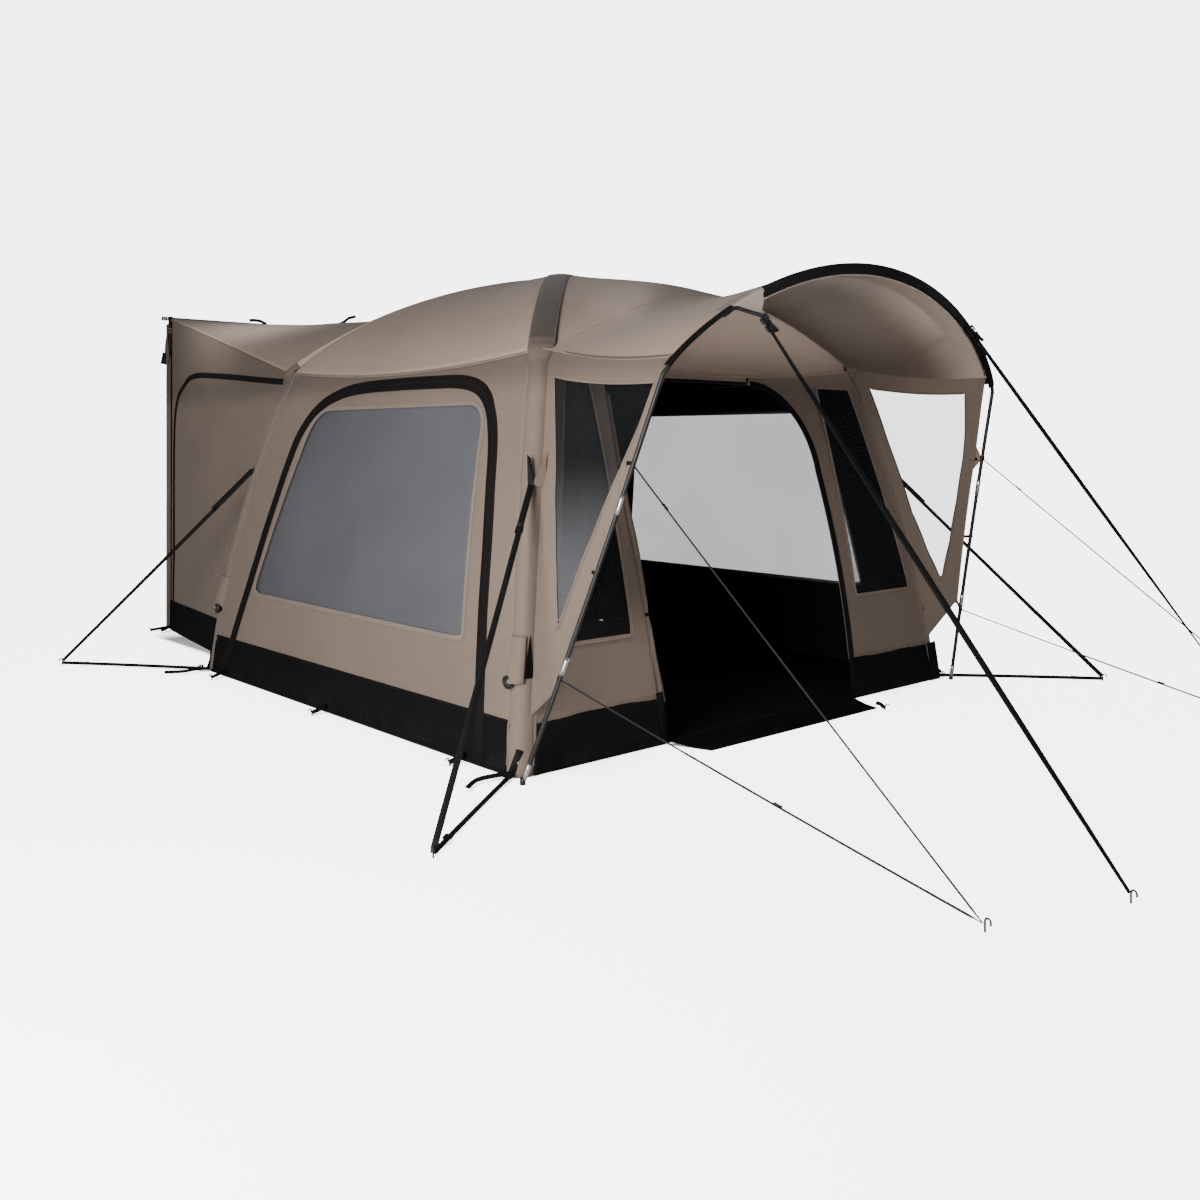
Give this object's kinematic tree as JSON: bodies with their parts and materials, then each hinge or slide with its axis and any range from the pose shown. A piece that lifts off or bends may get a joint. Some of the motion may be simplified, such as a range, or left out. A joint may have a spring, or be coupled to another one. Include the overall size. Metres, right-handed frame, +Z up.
{
  "type": "inflatable campervan awning",
  "caption": "Square air-beam awning for a campervan: windowed walls, arched porch on the front, tall tunnel to the vehicle, storm straps and guys.",
  "frame": {"origin": "on the ground in the middle of the square cabin, on the underside of the groundsheet", "axes": "+X to the right seen from the front, +Y from the porch to the vehicle, +Z up"},
  "size_m": [4.7718, 7.3716, 2.487],
  "materials": {
    "roof_cloth": "matte coated weave, light taupe",
    "wall_cloth": "matte coated weave, taupe",
    "beam_sleeve": "matte coated weave, dark taupe",
    "mud_cloth": "matte black ripstop",
    "tinted_film": "smoked flexible film",
    "clear_film": "clear flexible film",
    "pole_black": "black sleeve and pole, satin",
    "pole_grey": "drawn tube, satin",
    "webbing": "woven strap, black",
    "guy_line": "braided line, black",
    "peg_steel": "bent rod"
  },
  "bodies": {
    "root": {"arch_pole": "pole_black", "beam_front_left": "beam_sleeve", "beam_front_right": "beam_sleeve", "beam_rear_left": "beam_sleeve", "beam_rear_right": "beam_sleeve", "canopy_strap_left": "webbing", "canopy_strap_right": "webbing", "crown_hub": "beam_sleeve", "door_flap": "mud_cloth", "door_header": "wall_cloth", "front_gable": "wall_cloth", "front_skirt_left": "mud_cloth", "front_skirt_right": "mud_cloth", "front_wall_left": "wall_cloth", "front_wall_right": "wall_cloth", "front_window_left": "clear_film", "front_window_right": "clear_film", "ground_strap_front_left": "webbing", "ground_strap_front_right": "webbing", "ground_strap_rear_left": "webbing", "ground_strap_rear_right": "webbing", "groundsheet": "mud_cloth", "guy_left": "guy_line", "guy_right": "guy_line", "left_skirt": "mud_cloth", "left_wall": "wall_cloth", "left_window": "tinted_film", "link_pole": "pole_grey", "peg_canopy_left": "peg_steel", "peg_canopy_right": "peg_steel", "peg_front_left": "peg_steel", "peg_front_right": "peg_steel", "peg_guy_left": "peg_steel", "peg_guy_right": "peg_steel", "peg_rear_left": "peg_steel", "peg_rear_right": "peg_steel", "porch_canopy": "roof_cloth", "right_skirt": "mud_cloth", "right_wall": "wall_cloth", "right_window": "tinted_film", "rolled_door": "wall_cloth", "roof_front": "roof_cloth", "roof_left": "roof_cloth", "roof_rear": "roof_cloth", "roof_right": "roof_cloth", "storm_strap_front_left": "webbing", "storm_strap_front_right": "webbing", "storm_strap_rear_left": "webbing", "storm_strap_rear_right": "webbing", "tunnel_roof": "roof_cloth", "tunnel_skirt_left": "mud_cloth", "tunnel_skirt_right": "mud_cloth", "tunnel_wall_left": "wall_cloth", "tunnel_wall_right": "wall_cloth", "wing_left": "wall_cloth", "wing_right": "wall_cloth", "wing_window_left": "clear_film", "wing_window_right": "clear_film"}
  },
  "joints": []
}
